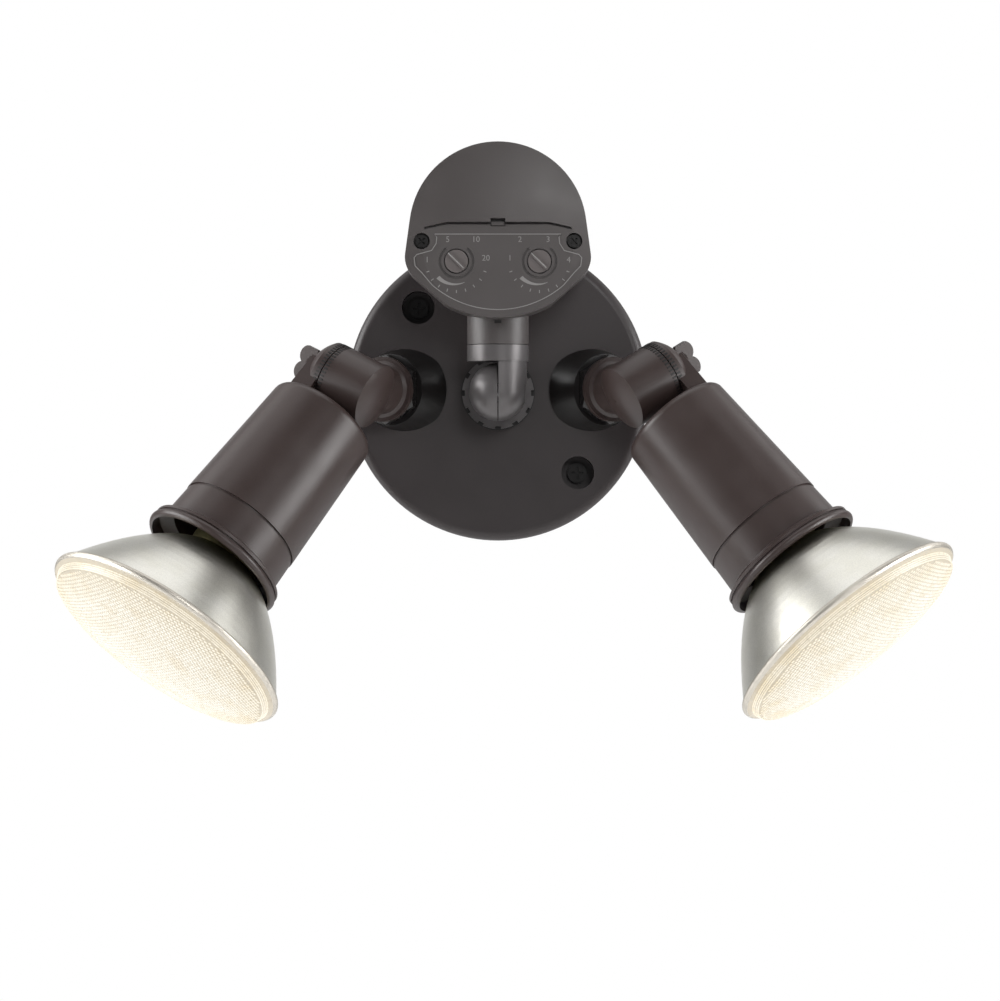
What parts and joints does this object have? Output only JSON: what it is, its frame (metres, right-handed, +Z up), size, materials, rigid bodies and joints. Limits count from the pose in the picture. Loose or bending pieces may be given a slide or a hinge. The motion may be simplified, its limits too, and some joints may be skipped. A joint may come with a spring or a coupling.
{
  "type": "security light",
  "caption": "Wall-mounted security light: round canopy, two swivelling lamp holders with flood bulbs on serrated knuckles, and a tilting motion sensor head with dials.",
  "frame": {"origin": "centre of the canopy's back, on the wall plane, where the outlet box screws' circle has its centre", "axes": "+Z up, -Y out of the wall toward the viewer, +X to the viewer's right"},
  "size_m": [0.4097, 0.1711, 0.2674],
  "materials": {
    "bronze": "satin bronze enamel",
    "bronze_plastic": "satin moulded plastic",
    "black_rubber": "matt",
    "black_steel": "black oxide",
    "zinc_steel": "zinc plated",
    "green_steel": "green plated",
    "orange_plastic": "moulded",
    "white_insulation": "wire insulation",
    "brass": "plain",
    "porcelain": "glazed",
    "silvered_glass": "satin silvered glass",
    "crimped_metal": "satin",
    "lens_glass": "prismatic, lit warm white",
    "black_glass": "gloss",
    "burner_glass": "clear",
    "sensor_white": "milky",
    "board_green": "solder mask",
    "relay_blue": "moulded",
    "knob_grey": "satin"
  },
  "bodies": {
    "canopy": {"canopy": "bronze", "wall_gasket": "black_rubber", "crossbar": "zinc_steel", "cover_screws": "black_steel", "ground_screw": "green_steel", "splice_caps": "orange_plastic", "canopy_leads": "white_insulation", "left_wedge_gasket": "black_rubber", "right_wedge_gasket": "black_rubber", "sensor_washer": "black_rubber"},
    "left_arm": {"left_stem": "bronze", "left_pivot_insert": "brass", "left_stem_leads": "white_insulation"},
    "left_nut": {"left_locknut": "black_steel"},
    "left_lamp": {"left_lamp_holder": "bronze", "left_socket": "porcelain", "left_screw_shell": "brass", "left_centre_contact": "brass", "left_socket_screws": "zinc_steel", "left_neck_ring": "black_rubber"},
    "left_wing": {"left_wing_screw": "bronze"},
    "left_bulb": {"left_reflector": "silvered_glass", "left_rim_ring": "crimped_metal", "left_lens": "lens_glass", "left_bulb_base": "zinc_steel", "left_bulb_contact": "black_glass", "left_burner": "burner_glass"},
    "right_arm": {"right_stem": "bronze", "right_pivot_insert": "brass", "right_stem_leads": "white_insulation"},
    "right_nut": {"right_locknut": "black_steel"},
    "right_lamp": {"right_lamp_holder": "bronze", "right_socket": "porcelain", "right_screw_shell": "brass", "right_centre_contact": "brass", "right_socket_screws": "zinc_steel", "right_neck_ring": "black_rubber"},
    "right_wing": {"right_wing_screw": "bronze"},
    "right_bulb": {"right_reflector": "silvered_glass", "right_rim_ring": "crimped_metal", "right_lens": "lens_glass", "right_bulb_base": "zinc_steel", "right_bulb_contact": "black_glass", "right_burner": "burner_glass"},
    "sensor_arm": {"sensor_stem": "bronze_plastic"},
    "sensor_nut": {"sensor_locknut": "bronze_plastic"},
    "sensor_swivel": {"sensor_neck": "bronze_plastic", "sensor_pivot_screw": "zinc_steel"},
    "sensor_head": {"sensor_housing": "bronze_plastic", "dial_cover": "bronze_plastic", "sensor_lens": "sensor_white", "housing_seal": "black_rubber", "housing_screws": "black_steel", "circuit_board": "board_green", "heat_detector": "zinc_steel", "relay": "relay_blue", "dial_pots": "relay_blue"},
    "timer_dial": {"timer_knob": "knob_grey"},
    "range_dial": {"range_knob": "knob_grey"}
  },
  "joints": [
    {"name": "left_stem_turn", "type": "hinge", "parent": "canopy", "child": "left_arm", "pos_m": [-0.0475, -0.022, 0], "axis": [0.4305, 0.9026, 0], "range_deg": [-35, 90]},
    {"name": "left_nut_turn", "type": "hinge", "parent": "left_arm", "child": "left_nut", "pos_m": [-0.0475, -0.022, 0], "axis": [0.4305, 0.9026, 0], "continuous": true},
    {"name": "left_lamp_tilt", "type": "hinge", "parent": "left_arm", "child": "left_lamp", "pos_m": [-0.0658, -0.06036, 0], "axis": [0.8213, -0.3917, -0.4147], "range_deg": [-95, 25]},
    {"name": "left_wing_turn", "type": "hinge", "parent": "left_lamp", "child": "left_wing", "pos_m": [-0.0658, -0.06036, 0], "axis": [0.8213, -0.3917, -0.4147], "continuous": true},
    {"name": "left_bulb_turn", "type": "hinge", "parent": "left_lamp", "child": "left_bulb", "pos_m": [-0.08393, -0.06949, -0.01861], "axis": [0.53, 0.3617, 0.7669], "continuous": true},
    {"name": "right_stem_turn", "type": "hinge", "parent": "canopy", "child": "right_arm", "pos_m": [0.0475, -0.022, 0], "axis": [0.4305, -0.9026, 0], "range_deg": [-40, 90]},
    {"name": "right_nut_turn", "type": "hinge", "parent": "right_arm", "child": "right_nut", "pos_m": [0.0475, -0.022, 0], "axis": [0.4305, -0.9026, 0], "continuous": true},
    {"name": "right_lamp_tilt", "type": "hinge", "parent": "right_arm", "child": "right_lamp", "pos_m": [0.0658, -0.06036, 0], "axis": [0.7894, 0.3765, 0.4848], "range_deg": [-100, 20]},
    {"name": "right_wing_turn", "type": "hinge", "parent": "right_lamp", "child": "right_wing", "pos_m": [0.0658, -0.06036, 0], "axis": [0.7894, 0.3765, 0.4848], "continuous": true},
    {"name": "right_bulb_turn", "type": "hinge", "parent": "right_lamp", "child": "right_bulb", "pos_m": [0.085, -0.06723, -0.0185], "axis": [0.5937, -0.3039, -0.7451], "continuous": true},
    {"name": "sensor_stem_turn", "type": "hinge", "parent": "canopy", "child": "sensor_arm", "pos_m": [0, -0.046, -0.0015], "axis": [0, -1, 0], "range_deg": [-20, 20]},
    {"name": "sensor_nut_turn", "type": "hinge", "parent": "sensor_arm", "child": "sensor_nut", "pos_m": [0, -0.046, -0.0015], "axis": [0, -1, 0], "continuous": true},
    {"name": "sensor_tilt", "type": "hinge", "parent": "sensor_arm", "child": "sensor_swivel", "pos_m": [0, -0.046, -0.0015], "axis": [1, 0, 0], "range_deg": [0, 120]},
    {"name": "sensor_pan", "type": "hinge", "parent": "sensor_swivel", "child": "sensor_head", "pos_m": [0, -0.046, -0.0015], "axis": [0, 0, 1], "range_deg": [-20, 20]},
    {"name": "timer_dial_turn", "type": "hinge", "parent": "sensor_head", "child": "timer_dial", "pos_m": [-0.01915, -0.081, 0.058], "axis": [0, -1, 0], "range_deg": [-135, 135]},
    {"name": "range_dial_turn", "type": "hinge", "parent": "sensor_head", "child": "range_dial", "pos_m": [0.01915, -0.081, 0.058], "axis": [0, -1, 0], "range_deg": [-135, 135]}
  ]
}
